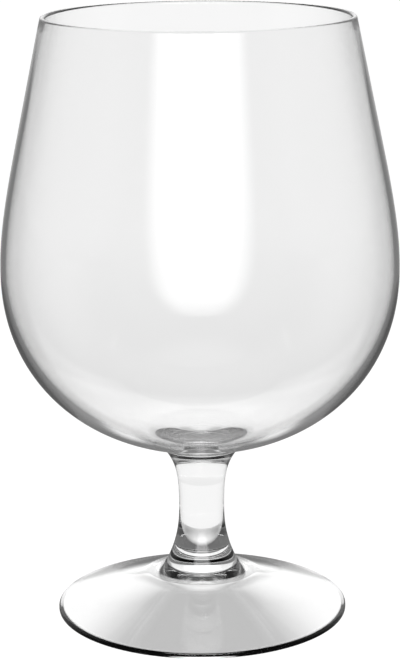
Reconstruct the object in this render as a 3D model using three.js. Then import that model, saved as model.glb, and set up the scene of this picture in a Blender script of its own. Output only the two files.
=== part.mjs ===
// Footed beer glass: a blown bowl, a solid drawn stem and a pressed foot, fused hot into one vessel.
// Millimetres, +Z up. The origin is the centre of the ring that the foot stands on, on the table.
import * as THREE from 'three';

// Foot, a hollow cone that stands on a narrow ring, with a hub that flares up into the stem
const FOOT_RADIUS = 34.1;
const FOOT_EDGE_THICKNESS = 1.5;
const FOOT_EDGE_ROUNDING = 0.6;
const FOOT_CONE_RISE = 7.6;
const HUB_FLARE_WIDTH = 4.2;
const HUB_FLARE_LIFT = 2.4;
const STEM_ROOT_RADIUS = 8.4;
const STEM_ROOT_SLOPE = 2.1;

// Hollow under the foot, a cone that rounds over into a dome under the hub
const CONTACT_RING_WIDTH = 1.0;
const HOLLOW_SHOULDER_RADIUS = 14.0;
const HOLLOW_SHOULDER_HEIGHT = 6.7;
const DOME_RISE = 2.5;
const DOME_FULLNESS = 2.0;

// Stem, a solid round pillar drawn in to a waist
const STEM_LENGTH = 26.8;
const WAIST_RADIUS = 5.3;
const WAIST_HEIGHT_ON_STEM = 14.2;
const STEM_TOP_RADIUS = 7.9;
const STEM_TOP_SLOPE = 1.5;

// Bowl, full at the belly and drawn in to the lip along a straight taper
const BOWL_HEIGHT = 102.0;
const BELLY_RADIUS = 45.8;
const BELLY_HEIGHT_ON_BOWL = 44.3;
const UNDERSIDE_LIFT = 2.0;
const UNDERSIDE_FULLNESS = 2.15;
const UNDERSIDE_FLARE_RADIUS = 14.4;
const SHOULDER_RADIUS = 42.1;
const SHOULDER_HEIGHT_ON_BOWL = 71.0;
const RIM_RADIUS = 35.5;
const WALL = 1.2;
const FLOOR_THICKNESS = 3.5;
const INSIDE_FULLNESS = 2.08;
const LIP_ROUNDING = 0.15;

// How round the curves between two tangents run, 2/3 for a parabola, more for a tighter corner
const HUB_TENSION = 0.6;
const FLARE_TENSION = 0.75;
const SHOULDER_TENSION = 0.72;

// Facets
const SEGMENTS = 64;
const FLARE_STEPS = 7;
const BODY_STEPS = 14;
const LIP_STEPS = 4;
const EDGE_STEPS = 4;

// Points of an outline nearer than this are one point
const SAME_POINT = 0.001;

// Heights and depths that follow from the sizes above
const HUB_HEIGHT = FOOT_EDGE_THICKNESS + FOOT_CONE_RISE + HUB_FLARE_LIFT;
const UNDERSIDE_DEPTH = BELLY_HEIGHT_ON_BOWL - UNDERSIDE_LIFT;

const glass = new THREE.MeshStandardMaterial({
  color: 0xf4f6f6,
  roughness: 0.02,
  metalness: 0,
  transparent: true,
  opacity: 0.3,
});

function point(radius, height) {
  return new THREE.Vector2(radius, height);
}

// The point where two straight lines cross, each given by a point and a slope of height over radius.
// A slope of Infinity is an upright line.
function crossing(a, slopeA, b, slopeB) {
  if (!Number.isFinite(slopeA)) {
    return point(a.x, b.y + slopeB * (a.x - b.x));
  }
  if (!Number.isFinite(slopeB)) {
    return point(b.x, a.y + slopeA * (b.x - a.x));
  }
  const radius = (b.y - a.y + slopeA * a.x - slopeB * b.x) / (slopeA - slopeB);
  return point(radius, a.y + slopeA * (radius - a.x));
}

// A curve from a to b that leaves and arrives along the two slopes.
function bend(a, slopeA, b, slopeB, tension, steps) {
  const corner = crossing(a, slopeA, b, slopeB);
  const first = a.clone().lerp(corner, tension);
  const second = b.clone().lerp(corner, tension);
  return new THREE.CubicBezierCurve(a, first, second, b).getPoints(steps);
}

// A quarter of a rounded oval, from its side at (radius, top) down to its lowest point on the axis.
// Fullness 2 is an ellipse, more is squarer.
function ovalPoint(radius, depth, top, fullness, angle) {
  const across = Math.cos(angle) ** (2 / fullness);
  const down = Math.sin(angle) ** (2 / fullness);
  return point(radius * across, top - depth * down);
}

function ovalSlope(radius, depth, fullness, at) {
  const share = at / radius;
  const rest = 1 - share ** fullness;
  return (depth / radius) * share ** (fullness - 1) * rest ** (1 / fullness - 1);
}

// An arc of a circle, with angles measured from the outward direction.
function arc(centre, radius, startAngle, endAngle, steps) {
  return new THREE.EllipseCurve(
    centre.x, centre.y, radius, radius, startAngle, endAngle, endAngle < startAngle, 0,
  ).getPoints(steps);
}

// Turns a closed outline, run from the axis below to the axis above, into a solid of revolution.
function turned(name, outline) {
  const profile = outline.filter((p, i) => i === 0 || p.distanceTo(outline[i - 1]) > SAME_POINT);
  const geometry = new THREE.LatheGeometry(profile, SEGMENTS);
  geometry.rotateX(Math.PI / 2);
  const mesh = new THREE.Mesh(geometry, glass.clone());
  mesh.name = name;
  return mesh;
}

// The top of the hollow, highest on the axis and falling ever faster towards its shoulder.
function dome() {
  const top = HOLLOW_SHOULDER_HEIGHT + DOME_RISE;
  const points = [];
  for (let step = 0; step <= FLARE_STEPS; step += 1) {
    const share = step / FLARE_STEPS;
    points.push(point(HOLLOW_SHOULDER_RADIUS * share, top - DOME_RISE * share ** DOME_FULLNESS));
  }
  return points;
}

// The foot stands on its ring and carries the stem on the flat top of its hub.
function foot() {
  const rounding = FOOT_EDGE_ROUNDING;
  const lowCentre = point(FOOT_RADIUS - rounding, rounding);
  const highCentre = point(FOOT_RADIUS - rounding, FOOT_EDGE_THICKNESS - rounding);
  const flareStart = point(STEM_ROOT_RADIUS + HUB_FLARE_WIDTH, FOOT_EDGE_THICKNESS + FOOT_CONE_RISE);
  const coneSlope = -FOOT_CONE_RISE / (highCentre.x - flareStart.x);
  const tangent = Math.PI / 2 + Math.atan(coneSlope);
  const root = point(STEM_ROOT_RADIUS, HUB_HEIGHT);
  return turned('foot', [
    ...dome(),
    point(lowCentre.x - CONTACT_RING_WIDTH, 0),
    ...arc(lowCentre, rounding, -Math.PI / 2, 0, EDGE_STEPS),
    ...arc(highCentre, rounding, 0, tangent, EDGE_STEPS),
    ...bend(flareStart, coneSlope, root, -STEM_ROOT_SLOPE, HUB_TENSION, FLARE_STEPS),
    point(0, HUB_HEIGHT),
  ]);
}

// The stem stands on the hub, so its flat lower end has the hub's radius and slope.
function stem() {
  const root = point(STEM_ROOT_RADIUS, 0);
  const waist = point(WAIST_RADIUS, WAIST_HEIGHT_ON_STEM);
  const top = point(STEM_TOP_RADIUS, STEM_LENGTH);
  const mesh = turned('stem', [
    point(0, 0),
    ...bend(root, -STEM_ROOT_SLOPE, waist, Infinity, FLARE_TENSION, FLARE_STEPS),
    ...bend(waist, Infinity, top, STEM_TOP_SLOPE, FLARE_TENSION, FLARE_STEPS),
    point(0, STEM_LENGTH),
  ]);
  mesh.position.z = HUB_HEIGHT;
  return mesh;
}

// The outside of the bowl, from the seat on the stem up to the straight taper.
function bowlOutside() {
  const seat = point(STEM_TOP_RADIUS, 0);
  const flareSlope = ovalSlope(BELLY_RADIUS, UNDERSIDE_DEPTH, UNDERSIDE_FULLNESS, UNDERSIDE_FLARE_RADIUS);
  const flareAngle = Math.acos((UNDERSIDE_FLARE_RADIUS / BELLY_RADIUS) ** (UNDERSIDE_FULLNESS / 2));
  const underside = [];
  for (let step = 0; step <= BODY_STEPS; step += 1) {
    const angle = flareAngle * (1 - step / BODY_STEPS);
    underside.push(
      ovalPoint(BELLY_RADIUS, UNDERSIDE_DEPTH, BELLY_HEIGHT_ON_BOWL, UNDERSIDE_FULLNESS, angle),
    );
  }
  const belly = point(BELLY_RADIUS, BELLY_HEIGHT_ON_BOWL);
  const shoulder = point(SHOULDER_RADIUS, SHOULDER_HEIGHT_ON_BOWL);
  return [
    ...bend(seat, STEM_TOP_SLOPE, underside[0], flareSlope, FLARE_TENSION, FLARE_STEPS),
    ...underside,
    ...bend(belly, Infinity, shoulder, taperSlope(), SHOULDER_TENSION, FLARE_STEPS),
  ];
}

function taperSlope() {
  return (BOWL_HEIGHT - SHOULDER_HEIGHT_ON_BOWL) / (RIM_RADIUS - SHOULDER_RADIUS);
}

// The lip is flat on top, with both of its edges melted round.
function lip() {
  const lean = Math.atan(-1 / taperSlope());
  const height = BOWL_HEIGHT - LIP_ROUNDING;
  const outside = RIM_RADIUS - LIP_ROUNDING / taperSlope();
  const inset = LIP_ROUNDING / Math.cos(lean);
  const outer = point(outside - inset, height);
  const inner = point(outside - WALL + inset, height);
  return [
    ...arc(outer, LIP_ROUNDING, lean, Math.PI / 2, LIP_STEPS),
    ...arc(inner, LIP_ROUNDING, Math.PI / 2, Math.PI + lean, LIP_STEPS),
  ];
}

// The inside follows the taper one wall in, then rounds down to the floor over the stem.
function bowlInside() {
  const shoulder = point(SHOULDER_RADIUS - WALL, SHOULDER_HEIGHT_ON_BOWL);
  const belly = point(BELLY_RADIUS - WALL, BELLY_HEIGHT_ON_BOWL);
  const depth = BELLY_HEIGHT_ON_BOWL - FLOOR_THICKNESS;
  const inside = bend(shoulder, taperSlope(), belly, Infinity, SHOULDER_TENSION, FLARE_STEPS);
  for (let step = 1; step < BODY_STEPS; step += 1) {
    const angle = (Math.PI / 2) * (step / BODY_STEPS);
    inside.push(ovalPoint(belly.x, depth, BELLY_HEIGHT_ON_BOWL, INSIDE_FULLNESS, angle));
  }
  inside.push(point(0, FLOOR_THICKNESS));
  return inside;
}

// The bowl sits on the stem's flat upper end.
function bowl() {
  const mesh = turned('bowl', [point(0, 0), ...bowlOutside(), ...lip(), ...bowlInside()]);
  mesh.position.z = HUB_HEIGHT + STEM_LENGTH;
  return mesh;
}

const beerGlass = new THREE.Group();
beerGlass.add(foot(), stem(), bowl());

export default beerGlass;
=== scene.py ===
"""Footed beer glass: a blown bowl, a drawn stem and a pressed foot, in clear glass on a white table.

Metres, +Z up. The glass stands on Z = 0 with its axis on the Z axis, and the viewer is on its -Y side.
"""
import math
import bpy
import numpy as np
from mathutils import Matrix

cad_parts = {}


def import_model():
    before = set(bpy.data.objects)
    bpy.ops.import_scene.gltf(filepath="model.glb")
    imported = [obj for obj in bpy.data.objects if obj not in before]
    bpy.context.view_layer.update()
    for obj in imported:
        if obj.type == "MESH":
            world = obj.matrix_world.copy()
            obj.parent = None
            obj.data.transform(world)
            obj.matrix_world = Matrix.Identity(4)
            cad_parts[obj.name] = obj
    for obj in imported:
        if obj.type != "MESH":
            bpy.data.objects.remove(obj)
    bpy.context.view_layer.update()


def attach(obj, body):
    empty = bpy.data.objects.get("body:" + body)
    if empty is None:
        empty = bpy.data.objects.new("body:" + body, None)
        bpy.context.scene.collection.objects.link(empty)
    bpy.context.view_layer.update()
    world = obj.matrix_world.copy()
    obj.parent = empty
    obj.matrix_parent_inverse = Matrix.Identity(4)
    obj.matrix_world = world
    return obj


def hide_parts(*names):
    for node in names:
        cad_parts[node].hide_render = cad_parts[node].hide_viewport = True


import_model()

MM = 0.001

# Foot, in millimetres: a cone with a rounded edge and a hub that flares up into the stem
FOOT_RADIUS = 34.1
FOOT_EDGE_THICKNESS = 1.5
FOOT_EDGE_ROUNDING = 0.6
FOOT_CONE_RISE = 7.6
HUB_FLARE_WIDTH = 4.2
HUB_FLARE_LIFT = 2.4
STEM_ROOT_RADIUS = 8.4
STEM_ROOT_SLOPE = 2.1

# Hollow under the foot, in millimetres: a cone inside the contact ring, rounded over into a dome
CONTACT_RING_WIDTH = 1.0
HOLLOW_SHOULDER_RADIUS = 14.0
HOLLOW_SHOULDER_HEIGHT = 6.7
HOLLOW_ROUNDING = 0.8
DOME_RISE = 2.5
DOME_FULLNESS = 2.0

# Stem, in millimetres, with heights measured from its seat on the foot
STEM_LENGTH = 26.8
WAIST_RADIUS = 5.3
WAIST_HEIGHT_ON_STEM = 14.2
STEM_TOP_RADIUS = 7.9
STEM_TOP_SLOPE = 1.5

# Bowl, in millimetres, with heights measured from its seat on the stem
BOWL_HEIGHT = 102.0
BELLY_RADIUS = 45.8
BELLY_HEIGHT = 44.3
UNDERSIDE_DEPTH = 42.3
UNDERSIDE_FULLNESS = 2.15
UNDERSIDE_FLARE_RADIUS = 14.4
SHOULDER_RADIUS = 42.1
SHOULDER_HEIGHT = 71.0
RIM_RADIUS = 35.5
WALL = 1.2
FLOOR_THICKNESS = 3.5
INSIDE_FULLNESS = 2.08
LIP_ROUNDING = 0.58

# How round the curves between two tangents run, 2/3 for a parabola, more for a tighter corner
HUB_TENSION = 0.6
FLARE_TENSION = 0.75
SHOULDER_TENSION = 0.72

# Height of the stem's seat on the foot
HUB_HEIGHT = FOOT_EDGE_THICKNESS + FOOT_CONE_RISE + HUB_FLARE_LIFT

# How finely the outlines are stepped and turned
TURN_STEPS = 256
CURVE_STEPS = 40
LONG_CURVE_STEPS = 90
CORNER_STEPS = 12
TAPER_STEPS = 12
HOLLOW_STEPS = 24
CONTACT_RING_STEPS = 4

# Outline points nearer than this are one point, and a radius below this is on the axis, in millimetres
SAME_POINT = 1e-4
ON_AXIS = 1e-6

# Places of the two materials in each piece's list
GLASS_SLOT = 0
SEAM_SLOT = 1

# Camera, fitted to the photograph: the frame is 400 x 659 pixels
FRAME_LONG_SIDE = 659
SENSOR = 36.0
FOCAL_PIXELS = 2217.7
CAMERA_DISTANCE = 0.49935
CAMERA_SIDE = -0.0001
CAMERA_HEIGHT = 0.1892
CAMERA_PITCH = math.radians(13.665)
CAMERA_ROLL = math.radians(0.40)

# Glass, with faint waves in its surface and a few smears that dull the gloss
GLASS_IOR = 1.5
WAVE_SCALE = 22.0
WAVE_DETAIL = 1.0
WAVE_STRENGTH = 0.004
WAVE_HEIGHT = 0.0005
SMEAR_SCALE = 9.0
SMEAR_DETAIL = 3.0
SMEAR_START = 0.45
SMEAR_FULL = 0.75
SMEAR_ROUGHNESS = 0.035

# The table in plain view shines a little short of white, and lamplight on it makes up the rest
FLOOR_SHINE = 0.93
FLOOR_WHITE = 0.25
FLOOR_HALF_SIZE = 3.0
FLOOR_DROP = 0.0001

# The table as seen through the glass, as grey levels with painted shade and light: painted shade under the
# hub and under the back of the foot, where a painted lit strip runs straight back, and darker from the
# table's far edge on
TABLE_GREY = 1.0
TABLE_CENTRE_PAINTED_SHADE_GREY = 0.55
TABLE_PAINTED_LIT_STRIP_GREY = 0.90
TABLE_BACK_PAINTED_SHADE_GREY = 0.50
TABLE_CENTRE_RADII = (0.010, 0.016)
TABLE_BACK_RADII = (0.027, 0.034)
TABLE_FOOT_RADII = (0.036, 0.060)
TABLE_EDGE = (0.142, 0.156)
BEYOND_GREY = 0.91
BEYOND_FADE = (0.150, 0.50)

# The painted shadow of the glass towards the viewer: the leans are how much it widens to the front
# for each metre, and how much faster it narrows behind the axis
TABLE_SHADE_GREY = 0.55
TABLE_SHADE_EDGE = (0.008, 0.028)
TABLE_SHADE_LEAN = 0.25
TABLE_BACK_LEAN = 0.35

# The table as the glass reflects it, with painted shade and light: painted shade under the glass, dark in
# front, a painted lit ring beside the foot, a faint painted lit strip straight back and a lighter table
# far behind
MIRROR_CENTRE_PAINTED_SHADE_GREY = 0.16
MIRROR_PAINTED_LIT_STRIP_GREY = 0.30
MIRROR_BACK_GREY = 0.20
MIRROR_FAR_GREY = 0.48
MIRROR_SIDE_GREY = 0.31
MIRROR_PAINTED_LIT_RING_GREY = 0.90
MIRROR_FRONT_GREY = 0.08
MIRROR_CENTRE_RADII = (0.028, 0.036)
MIRROR_RING_END = (0.044, 0.060)
MIRROR_FAR_RADII = (0.08, 0.24)

# Turns about the glass, from straight behind it, between which the levels change
STRIP_TO_BACK = (math.radians(4), math.radians(26))
BACK_TO_SIDE = (math.radians(26), math.radians(44))
MIRROR_STRIP_TO_BACK = (math.radians(5), math.radians(9))
MIRROR_FAR_TURNS = (math.radians(14), math.radians(24))
MIRROR_BACK_TO_SIDE = (math.radians(30), math.radians(48))
MIRROR_RING_TURNS = (math.radians(55), math.radians(75))
MIRROR_SIDE_TO_FRONT = (math.radians(102), math.radians(130))

# The dim room that the glass reflects
ROOM_GREY = 0.40
FRONT_GREY = 0.06
ZENITH_GREY = 0.55
ROOM_TO_FRONT = (math.radians(70), math.radians(115))
ROOM_TO_ZENITH = (math.radians(60), math.radians(80))

# A lit screen behind the glass, in the room that it reflects
HORIZON_GREY = 0.80
SCREEN_LOW_GREY = 1.5
SCREEN_GREY = 1.9
SCREEN_TOP_GREY = 1.4
SCREEN_LOW_ELEVATION = math.radians(6)
SCREEN_FADE_ELEVATION = math.radians(33)
SCREEN_TOP_ELEVATION = math.radians(47)
SCREEN_EDGE = math.radians(1.5)
SCREEN_SIDE_SHARE = 0.55
SCREEN_MIDDLE_TO_SIDE = (math.radians(6), math.radians(22))
SCREEN_END = (math.radians(37), math.radians(44))

# Softbox in front of the glass, in metres, wider at the top and rounded at the bottom
SOFTBOX_DISTANCE = 0.36
SOFTBOX_BOTTOM = -0.03
SOFTBOX_TOP = 0.34
SOFTBOX_WIDTH = 0.70
SOFTBOX_HALF_WIDTH_LOW = 0.195
SOFTBOX_HALF_WIDTH_HIGH = 0.262
SOFTBOX_ROUND_HEIGHT = 0.14
SOFTBOX_GREY = 5.0
SOFTBOX_SIDE_EDGE = 0.11
SOFTBOX_LOW_EDGE = 0.08

# Middle of the softbox, as a share of its width
SOFTBOX_MIDDLE = 0.5

# Bounces of light before its path is given up as dark, fewest for reflections inside the glass
MAX_BOUNCES = 32
GLOSSY_BOUNCES = 6
TRANSMISSION_BOUNCES = 24
TRANSPARENT_BOUNCES = 24


# Curves of the outlines, as points of radius and height

def straight(a, b, steps):
    t = np.linspace(0, 1, steps + 1)[:, None]
    return np.array(a, float) * (1 - t) + np.array(b, float) * t


def crossing(a, slope_a, b, slope_b):
    """Where two straight lines cross, each given by a point and a slope of height over radius."""
    if math.isinf(slope_a):
        return np.array([a[0], b[1] + slope_b * (a[0] - b[0])])
    if math.isinf(slope_b):
        return np.array([b[0], a[1] + slope_a * (b[0] - a[0])])
    radius = (b[1] - a[1] + slope_a * a[0] - slope_b * b[0]) / (slope_a - slope_b)
    return np.array([radius, a[1] + slope_a * (radius - a[0])])


def bend(a, slope_a, b, slope_b, tension, steps=CURVE_STEPS):
    """A curve from a to b that leaves and arrives along the two slopes."""
    a, b = np.array(a, float), np.array(b, float)
    corner = crossing(a, slope_a, b, slope_b)
    first = a + (corner - a) * tension
    second = b + (corner - b) * tension
    t = np.linspace(0, 1, steps + 1)[:, None]
    return (1 - t) ** 3 * a + 3 * (1 - t) ** 2 * t * first + 3 * (1 - t) * t ** 2 * second + t ** 3 * b


def arc(centre, radius, start, end, steps):
    angles = np.linspace(start, end, steps + 1)
    return np.array(centre) + radius * np.stack([np.cos(angles), np.sin(angles)], axis=1)


def oval(radius, depth, top, fullness, angles):
    """Points of a quarter of a rounded oval. Fullness 2 is an ellipse, more is squarer."""
    across = radius * np.cos(angles) ** (2 / fullness)
    down = depth * np.sin(angles) ** (2 / fullness)
    return np.stack([across, top - down], axis=1)


def oval_slope(radius, depth, fullness, at):
    """The slope of a quarter of a rounded oval where its radius is at."""
    share = at / radius
    rest = 1 - share ** fullness
    return (depth / radius) * share ** (fullness - 1) * rest ** (1 / fullness - 1)


# Outlines of the pieces, each as the stretches that it is made of

def hollow_outline(ring):
    """The dome under the hub and, round its shoulder, the cone that ends at the contact ring."""
    dome_end = 1 - HOLLOW_ROUNDING / HOLLOW_SHOULDER_RADIUS
    share = np.linspace(0, dome_end, CURVE_STEPS)
    dome_top = HOLLOW_SHOULDER_HEIGHT + DOME_RISE
    heights = dome_top - DOME_RISE * share ** DOME_FULLNESS
    dome = np.stack([HOLLOW_SHOULDER_RADIUS * share, heights], axis=1)
    dome_slope = -DOME_FULLNESS * DOME_RISE / HOLLOW_SHOULDER_RADIUS * dome_end ** (DOME_FULLNESS - 1)
    cone_slope = -HOLLOW_SHOULDER_HEIGHT / (ring - HOLLOW_SHOULDER_RADIUS)
    shoulder = np.array([HOLLOW_SHOULDER_RADIUS, HOLLOW_SHOULDER_HEIGHT])
    cone_top = shoulder + HOLLOW_ROUNDING * np.array([1, cone_slope])
    return [
        dome,
        bend(dome[-1], dome_slope, cone_top, cone_slope, FLARE_TENSION, CORNER_STEPS),
        straight(cone_top, (ring, 0), HOLLOW_STEPS),
    ]


def foot_outline():
    """The hollow, the contact ring, the rounded edge, and the cone up to the hub and the stem."""
    rounding = FOOT_EDGE_ROUNDING
    edge = FOOT_RADIUS - rounding
    ring = edge - CONTACT_RING_WIDTH
    flare_start = (STEM_ROOT_RADIUS + HUB_FLARE_WIDTH, FOOT_EDGE_THICKNESS + FOOT_CONE_RISE)
    cone_slope = -FOOT_CONE_RISE / (edge - flare_start[0])
    tangent = math.pi / 2 + math.atan(cone_slope)
    root = (STEM_ROOT_RADIUS, HUB_HEIGHT)
    return [
        *hollow_outline(ring),
        straight((ring, 0), (edge, 0), CONTACT_RING_STEPS),
        arc((edge, rounding), rounding, -math.pi / 2, 0, CORNER_STEPS),
        arc((edge, FOOT_EDGE_THICKNESS - rounding), rounding, 0, tangent, CORNER_STEPS),
        bend(flare_start, cone_slope, root, -STEM_ROOT_SLOPE, HUB_TENSION),
    ]


def stem_outline():
    """From the hub in to the waist, and out again to the bowl."""
    root = (STEM_ROOT_RADIUS, 0)
    waist = (WAIST_RADIUS, WAIST_HEIGHT_ON_STEM)
    top = (STEM_TOP_RADIUS, STEM_LENGTH)
    return [
        bend(root, -STEM_ROOT_SLOPE, waist, math.inf, FLARE_TENSION),
        bend(waist, math.inf, top, STEM_TOP_SLOPE, FLARE_TENSION),
    ]


def taper_slope():
    return (BOWL_HEIGHT - SHOULDER_HEIGHT) / (RIM_RADIUS - SHOULDER_RADIUS)


def underside():
    """The outside from the flare over the stem, out and up to the belly."""
    start = math.acos((UNDERSIDE_FLARE_RADIUS / BELLY_RADIUS) ** (UNDERSIDE_FULLNESS / 2))
    angles = np.linspace(start, 0, LONG_CURVE_STEPS + 1)
    return oval(BELLY_RADIUS, UNDERSIDE_DEPTH, BELLY_HEIGHT, UNDERSIDE_FULLNESS, angles)


def inside(inner_belly):
    """The inside from the belly round down to the floor over the stem."""
    depth = BELLY_HEIGHT - FLOOR_THICKNESS
    angles = np.linspace(0, math.pi / 2, LONG_CURVE_STEPS + 1)
    return oval(inner_belly[0], depth, BELLY_HEIGHT, INSIDE_FULLNESS, angles)


def lip():
    """The lip is melted round from the outside over to the inside."""
    lean = math.atan(-1 / taper_slope())
    height = BOWL_HEIGHT - LIP_ROUNDING
    outside = RIM_RADIUS - LIP_ROUNDING / taper_slope()
    inset = LIP_ROUNDING / math.cos(lean)
    outer = (outside - inset, height)
    inner = (outside - WALL + inset, height)
    return np.concatenate([
        arc(outer, LIP_ROUNDING, lean, math.pi / 2, CORNER_STEPS),
        arc(inner, LIP_ROUNDING, math.pi / 2, math.pi + lean, CORNER_STEPS),
    ])


def bowl_outline():
    """From the seat on the stem up the outside to the lip, and down the inside, one wall in."""
    seat = (STEM_TOP_RADIUS, 0)
    belly = (BELLY_RADIUS, BELLY_HEIGHT)
    shoulder = (SHOULDER_RADIUS, SHOULDER_HEIGHT)
    inner_shoulder = (SHOULDER_RADIUS - WALL, SHOULDER_HEIGHT)
    inner_belly = (BELLY_RADIUS - WALL, BELLY_HEIGHT)
    flare_slope = oval_slope(BELLY_RADIUS, UNDERSIDE_DEPTH, UNDERSIDE_FULLNESS, UNDERSIDE_FLARE_RADIUS)
    low_curve = underside()
    lip_curve = lip()
    return [
        bend(seat, STEM_TOP_SLOPE, low_curve[0], flare_slope, FLARE_TENSION),
        low_curve,
        bend(belly, math.inf, shoulder, taper_slope(), SHOULDER_TENSION),
        straight(shoulder, lip_curve[0], TAPER_STEPS),
        lip_curve,
        straight(lip_curve[-1], inner_shoulder, TAPER_STEPS),
        bend(inner_shoulder, taper_slope(), inner_belly, math.inf, SHOULDER_TENSION),
        inside(inner_belly),
    ]


def joined(stretches, lift):
    """One outline from several stretches, without doubled points, lifted to its height."""
    points = np.concatenate([np.asarray(s, float) for s in stretches])
    keep = np.ones(len(points), bool)
    keep[1:] = np.linalg.norm(np.diff(points, axis=0), axis=1) > SAME_POINT
    return points[keep] + np.array([0, lift])


# Solids of revolution

def turned_points(outline):
    """The points of an outline turned round the axis, and the numbers of the points in each ring."""
    turns = np.arange(TURN_STEPS) * 2 * math.pi / TURN_STEPS
    cos, sin = np.cos(turns), np.sin(turns)
    points, rings = [], []
    for radius, height in outline:
        count = 1 if radius < ON_AXIS else TURN_STEPS
        rings.append(list(range(len(points), len(points) + count)))
        if count == 1:
            points.append((0, 0, height * MM))
        else:
            points.extend(zip(radius * cos * MM, radius * sin * MM, [height * MM] * count))
    return points, rings


def side_faces(rings):
    """The faces between neighbouring rings, three-sided where one of them is a point on the axis."""
    faces = []
    for low, high in zip(rings, rings[1:]):
        for i in range(TURN_STEPS):
            j = (i + 1) % TURN_STEPS
            if len(low) == 1:
                faces.append((low[0], high[j], high[i]))
            elif len(high) == 1:
                faces.append((low[i], low[j], high[0]))
            else:
                faces.append((low[i], low[j], high[j], high[i]))
    return faces


def seam_faces(ring_edges, centre, facing_down):
    """The flat face over an open end, where the piece is fused to its neighbour."""
    if facing_down:
        return [(b, a, centre) for a, b in ring_edges]
    return [(a, b, centre) for a, b in ring_edges]


def placed(name, data):
    """An object in the scene that holds the mesh, lamp or camera."""
    piece = bpy.data.objects.new(name, data)
    bpy.context.scene.collection.objects.link(piece)
    return piece


def turned(name, outline, materials):
    """A closed solid of revolution. An end that isn't on the axis gets a flat seam face."""
    points, rings = turned_points(outline)
    faces = side_faces(rings)
    slots = [GLASS_SLOT] * len(faces)
    seam_edges = set()
    for ring, facing_down in ((rings[0], True), (rings[-1], False)):
        if len(ring) == 1:
            continue
        ring_edges = list(zip(ring, ring[1:] + ring[:1]))
        points.append((0, 0, points[ring[0]][2]))
        faces.extend(seam_faces(ring_edges, len(points) - 1, facing_down))
        slots.extend([SEAM_SLOT] * len(ring_edges))
        seam_edges.update(frozenset(edge) for edge in ring_edges)
    mesh = bpy.data.meshes.new(name)
    mesh.from_pydata(points, [], faces)
    for material in materials:
        mesh.materials.append(material)
    mesh.polygons.foreach_set("material_index", slots)
    mesh.polygons.foreach_set("use_smooth", [True] * len(faces))
    for edge in mesh.edges:
        if frozenset(edge.vertices) in seam_edges:
            edge.use_edge_sharp = True
    mesh.update()
    return placed(name, mesh)


# Shader nodes

def add(tree, kind, **settings):
    """A shader node. A setting named after an input, or _0, _1, _2 or _3 after its place, sets the
    input, or links it when given a socket. Any other setting is a property of the node."""
    node = tree.nodes.new(kind)
    for key, value in settings.items():
        if hasattr(node, key) and key not in node.inputs:
            setattr(node, key, value)
            continue
        socket = node.inputs[int(key[1:])] if key[0] == "_" else node.inputs[key]
        if isinstance(value, bpy.types.NodeSocket):
            tree.links.new(value, socket)
        else:
            socket.default_value = value
    return node


def math_node(tree, operation, a, b=0.0, c=0.0, clamp=False):
    return add(tree, "ShaderNodeMath", operation=operation, use_clamp=clamp, _0=a, _1=b, _2=c).outputs[0]


def smooth(tree, value, start, end, low=0.0, high=1.0):
    """Goes smoothly from low to high as the value goes from start to end."""
    node = add(tree, "ShaderNodeMapRange", Value=value, interpolation_type="SMOOTHSTEP")
    for name, level in (("From Min", start), ("From Max", end), ("To Min", low), ("To Max", high)):
        node.inputs[name].default_value = level
    return node.outputs[0]


def mixed(tree, share, a, b):
    """The level a where the share is 0, and b where it is 1."""
    return add(tree, "ShaderNodeMix", data_type="FLOAT", _0=share, _2=a, _3=b).outputs[0]


def grey(value):
    return (value, value, value, 1.0)


def emptied(owner):
    """The shader nodes of a material, lamp or world, with none in them yet."""
    owner.use_nodes = True
    owner.node_tree.nodes.clear()
    return owner.node_tree


def join_output(tree, kind, shader):
    """Joins the shader to the output that its owner needs."""
    out = add(tree, kind)
    tree.links.new(shader.outputs[0], out.inputs["Surface"])


def straight_view(tree):
    """1 for what the camera sees directly or through glass with no reflection on the way, else 0."""
    path = add(tree, "ShaderNodeLightPath")
    unreflected = math_node(tree, "LESS_THAN", path.outputs["Glossy Depth"], 1.0)
    through = math_node(tree, "MULTIPLY", path.outputs["Is Transmission Ray"], unreflected)
    return math_node(tree, "MAXIMUM", path.outputs["Is Camera Ray"], through)


# Materials of the glass

def glass_material():
    material = bpy.data.materials.new("clear_glass")
    tree = emptied(material)
    place = add(tree, "ShaderNodeTexCoord").outputs["Object"]
    waves = add(tree, "ShaderNodeTexNoise", Vector=place, Scale=WAVE_SCALE, Detail=WAVE_DETAIL)
    height = waves.outputs["Fac"]
    bump = add(tree, "ShaderNodeBump", Strength=WAVE_STRENGTH, Distance=WAVE_HEIGHT, Height=height)
    smears = add(tree, "ShaderNodeTexNoise", Vector=place, Scale=SMEAR_SCALE, Detail=SMEAR_DETAIL)
    dullness = smooth(tree, smears.outputs["Fac"], SMEAR_START, SMEAR_FULL, 0.0, SMEAR_ROUGHNESS)
    shader = add(
        tree, "ShaderNodeBsdfPrincipled", Normal=bump.outputs["Normal"], Roughness=dullness, IOR=GLASS_IOR,
    )
    shader.inputs["Base Color"].default_value = grey(1.0)
    shader.inputs["Transmission Weight"].default_value = 1.0
    join_output(tree, "ShaderNodeOutputMaterial", shader)
    return material


def seam_material():
    """The joints between the gathers are fused, so light passes them unchanged."""
    material = bpy.data.materials.new("fused_seam")
    tree = emptied(material)
    join_output(tree, "ShaderNodeOutputMaterial", add(tree, "ShaderNodeBsdfTransparent"))
    return material


# Surroundings

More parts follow.
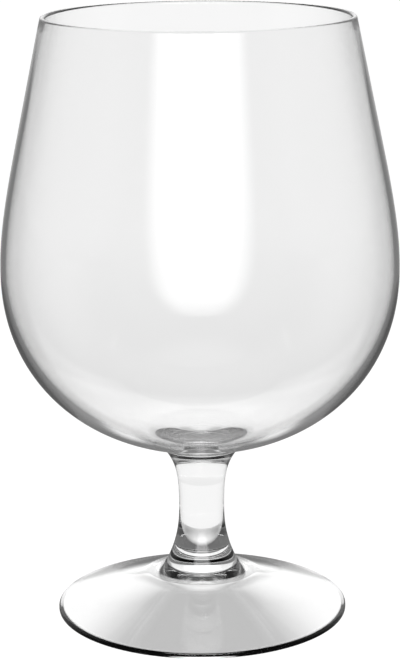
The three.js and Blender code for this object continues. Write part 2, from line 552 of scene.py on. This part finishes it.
def screen_level(tree, elevation, turn):
    """The lit screen, brightest in its upper half and dimmer at the horizon, its top and its sides."""
    above_low = SCREEN_GREY - SCREEN_LOW_GREY
    above_fade = SCREEN_TOP_GREY - SCREEN_GREY
    rising = smooth(tree, elevation, 0.0, SCREEN_LOW_ELEVATION, HORIZON_GREY, SCREEN_LOW_GREY)
    lower = smooth(tree, elevation, SCREEN_LOW_ELEVATION, SCREEN_FADE_ELEVATION, 0.0, above_low)
    upper = smooth(tree, elevation, SCREEN_FADE_ELEVATION, SCREEN_TOP_ELEVATION, 0.0, above_fade)
    lit = math_node(tree, "ADD", math_node(tree, "ADD", rising, lower), upper)
    side_share = smooth(tree, turn, *SCREEN_MIDDLE_TO_SIDE, 1.0, SCREEN_SIDE_SHARE)
    return math_node(tree, "MULTIPLY", lit, side_share)


def on_screen(tree, elevation, turn):
    """1 in the directions of the screen, else 0."""
    top_start = SCREEN_TOP_ELEVATION - SCREEN_EDGE
    below_top = smooth(tree, elevation, top_start, SCREEN_TOP_ELEVATION, 1.0, 0.0)
    beside = smooth(tree, turn, *SCREEN_END, 1.0, 0.0)
    return math_node(tree, "MULTIPLY", below_top, beside)


def room_level(tree, elevation, turn):
    """The room: dim behind and beside the glass, darker in front, and lighter overhead."""
    sides = smooth(tree, turn, *ROOM_TO_FRONT, ROOM_GREY, FRONT_GREY)
    return mixed(tree, smooth(tree, elevation, *ROOM_TO_ZENITH), sides, ZENITH_GREY)


def world():
    """White in plain view and through the glass, and a room with a lit screen in its reflections."""
    made = bpy.data.worlds.new("studio")
    bpy.context.scene.world = made
    tree = emptied(made)
    direction = add(tree, "ShaderNodeTexCoord").outputs["Generated"]
    split = add(tree, "ShaderNodeSeparateXYZ", Vector=direction)
    elevation = math_node(tree, "ARCSINE", split.outputs["Z"])
    across = math_node(tree, "ABSOLUTE", split.outputs["X"])
    turn = math_node(tree, "ARCTAN2", across, split.outputs["Y"])
    room = room_level(tree, elevation, turn)
    screen = screen_level(tree, elevation, turn)
    around = mixed(tree, on_screen(tree, elevation, turn), room, screen)
    level = mixed(tree, straight_view(tree), around, 1.0)
    background = add(tree, "ShaderNodeBackground", Color=grey(1.0), Strength=level)
    join_output(tree, "ShaderNodeOutputWorld", background)


def table_through_glass(tree, across, back, radius, turn):
    """The table's grey level as seen through the glass, with painted shade, a painted lit strip and a
    painted shadow.
    """
    lean = math_node(tree, "MULTIPLY_ADD", back, TABLE_SHADE_LEAN, across)
    behind = math_node(tree, "MAXIMUM", back, 0.0)
    off_shade = math_node(tree, "MULTIPLY_ADD", behind, TABLE_BACK_LEAN, lean)
    shade = smooth(tree, off_shade, *TABLE_SHADE_EDGE, TABLE_SHADE_GREY, TABLE_GREY)
    painted_strip = smooth(tree, turn, *STRIP_TO_BACK, TABLE_PAINTED_LIT_STRIP_GREY, TABLE_BACK_PAINTED_SHADE_GREY)
    under_back = mixed(tree, smooth(tree, radius, *TABLE_BACK_RADII), painted_strip, TABLE_GREY)
    around = mixed(tree, smooth(tree, turn, *BACK_TO_SIDE), under_back, shade)
    near = mixed(tree, smooth(tree, radius, *TABLE_CENTRE_RADII), TABLE_CENTRE_PAINTED_SHADE_GREY, around)
    table = mixed(tree, smooth(tree, radius, *TABLE_FOOT_RADII), near, TABLE_GREY)
    beyond = smooth(tree, radius, *BEYOND_FADE, BEYOND_GREY, 1.0)
    return mixed(tree, smooth(tree, back, *TABLE_EDGE), table, beyond)


def table_in_mirror(tree, radius, turn):
    """The table's grey level as the glass reflects it, with painted shade and a painted lit ring and
    strip.
    """
    far = smooth(tree, radius, *MIRROR_FAR_RADII, MIRROR_BACK_GREY, MIRROR_FAR_GREY)
    back = mixed(tree, smooth(tree, turn, *MIRROR_FAR_TURNS), far, MIRROR_BACK_GREY)
    ring = smooth(tree, radius, *MIRROR_RING_END, MIRROR_PAINTED_LIT_RING_GREY, MIRROR_SIDE_GREY)
    side = mixed(tree, smooth(tree, turn, *MIRROR_RING_TURNS), ring, MIRROR_SIDE_GREY)
    around = mixed(tree, smooth(tree, turn, *MIRROR_BACK_TO_SIDE), back, side)
    front = smooth(tree, turn, *MIRROR_SIDE_TO_FRONT, 0.0, MIRROR_FRONT_GREY - MIRROR_SIDE_GREY)
    painted_strip = smooth(tree, turn, *MIRROR_STRIP_TO_BACK, MIRROR_PAINTED_LIT_STRIP_GREY - MIRROR_BACK_GREY, 0.0)
    open_table = math_node(tree, "ADD", math_node(tree, "ADD", around, front), painted_strip)
    return mixed(tree, smooth(tree, radius, *MIRROR_CENTRE_RADII), MIRROR_CENTRE_PAINTED_SHADE_GREY, open_table)


def table_material():
    """White in plain view, where it also takes lamplight and shadow, with painted shade and light where
    glass shows it.
    """
    material = bpy.data.materials.new("white_table")
    tree = emptied(material)
    place = add(tree, "ShaderNodeTexCoord").outputs["Object"]
    split = add(tree, "ShaderNodeSeparateXYZ", Vector=place)
    across = math_node(tree, "ABSOLUTE", split.outputs["X"])
    back = split.outputs["Y"]
    radius = add(tree, "ShaderNodeVectorMath", operation="LENGTH", _0=place).outputs["Value"]
    turn = math_node(tree, "ARCTAN2", across, back)
    in_plain_view = add(tree, "ShaderNodeLightPath").outputs["Is Camera Ray"]
    # Painted shade and light of the table where the glass shows it, straight through or reflected
    through = table_through_glass(tree, across, back, radius, turn)
    seen = mixed(tree, in_plain_view, through, FLOOR_SHINE)
    level = mixed(tree, straight_view(tree), table_in_mirror(tree, radius, turn), seen)
    shine = add(tree, "ShaderNodeEmission", Strength=level).outputs[0]
    white = add(tree, "ShaderNodeBsdfDiffuse", Color=grey(FLOOR_WHITE)).outputs[0]
    black = add(tree, "ShaderNodeBsdfDiffuse", Color=grey(0.0)).outputs[0]
    lamplit = add(tree, "ShaderNodeMixShader", _0=in_plain_view, _1=black, _2=white).outputs[0]
    join_output(tree, "ShaderNodeOutputMaterial", add(tree, "ShaderNodeAddShader", _0=shine, _1=lamplit))
    return material


def floor():
    size = FLOOR_HALF_SIZE
    mesh = bpy.data.meshes.new("floor")
    corners = [(-size, -size, 0), (size, -size, 0), (size, size, 0), (-size, size, 0)]
    mesh.from_pydata(corners, [], [(0, 1, 2, 3)])
    mesh.materials.append(table_material())
    piece = placed("floor", mesh)
    piece.location.z = -FLOOR_DROP


def softbox_shader(tree, height):
    """Light that fades out towards the softbox's sides and its rounded lower end."""
    spot = add(tree, "ShaderNodeNewGeometry").outputs["Parametric"]
    split = add(tree, "ShaderNodeSeparateXYZ", Vector=spot)
    across, up = split.outputs["X"], split.outputs["Y"]
    off_centre = math_node(tree, "ABSOLUTE", math_node(tree, "SUBTRACT", across, SOFTBOX_MIDDLE))
    widening = smooth(tree, up, 0.0, 1.0, SOFTBOX_HALF_WIDTH_LOW, SOFTBOX_HALF_WIDTH_HIGH)
    short = math_node(tree, "MULTIPLY_ADD", up, -height / SOFTBOX_ROUND_HEIGHT, 1.0, clamp=True)
    squared = math_node(tree, "MULTIPLY", short, short)
    rounding = math_node(tree, "SQRT", math_node(tree, "SUBTRACT", 1.0, squared))
    half_width = math_node(tree, "MULTIPLY", widening, rounding)
    spread = math_node(tree, "MULTIPLY", off_centre, SOFTBOX_WIDTH)
    to_edge = math_node(tree, "SUBTRACT", half_width, spread)
    sides = smooth(tree, to_edge, 0.0, SOFTBOX_SIDE_EDGE)
    low_end = smooth(tree, up, 0.0, SOFTBOX_LOW_EDGE / height, 0.0, SOFTBOX_GREY)
    return add(tree, "ShaderNodeEmission", Strength=math_node(tree, "MULTIPLY", sides, low_end))


def front_softbox():
    """A soft-edged upright lamp that only the glass's reflections show."""
    height = SOFTBOX_TOP - SOFTBOX_BOTTOM
    lamp = bpy.data.lights.new("front_softbox", "AREA")
    lamp.shape = "RECTANGLE"
    lamp.size = SOFTBOX_WIDTH
    lamp.size_y = height
    lamp.energy = SOFTBOX_WIDTH * height * math.pi
    tree = emptied(lamp)
    join_output(tree, "ShaderNodeOutputLight", softbox_shader(tree, height))
    piece = placed("front_softbox", lamp)
    piece.location = (0, -SOFTBOX_DISTANCE, (SOFTBOX_TOP + SOFTBOX_BOTTOM) / 2)
    piece.rotation_euler = (math.pi / 2, 0, 0)
    piece.visible_camera = False
    piece.visible_transmission = False


def camera():
    data = bpy.data.cameras.new("camera")
    data.sensor_fit = "AUTO"
    data.sensor_width = SENSOR
    data.lens = FOCAL_PIXELS / FRAME_LONG_SIDE * SENSOR
    piece = placed("camera", data)
    place = Matrix.Translation((CAMERA_SIDE, -CAMERA_DISTANCE, CAMERA_HEIGHT))
    aim = Matrix.Rotation(math.pi / 2 - CAMERA_PITCH, 4, "X")
    roll = Matrix.Rotation(-CAMERA_ROLL, 4, "Z")
    piece.matrix_world = place @ aim @ roll
    bpy.context.scene.camera = piece


camera()
GLASS = [glass_material(), seam_material()]
PIECES = {
    "foot": turned("glass_foot", joined(foot_outline(), 0), GLASS),
    "stem": turned("glass_stem", joined(stem_outline(), HUB_HEIGHT), GLASS),
    "bowl": turned("glass_bowl", joined(bowl_outline(), HUB_HEIGHT + STEM_LENGTH), GLASS),
}
for node, piece in PIECES.items():
    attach(piece, "root")
    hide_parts(node)

world()
floor()
front_softbox()

scene = bpy.context.scene
scene.view_settings.view_transform = "Standard"
scene.cycles.max_bounces = MAX_BOUNCES
scene.cycles.glossy_bounces = GLOSSY_BOUNCES
scene.cycles.transmission_bounces = TRANSMISSION_BOUNCES
scene.cycles.transparent_max_bounces = TRANSPARENT_BOUNCES
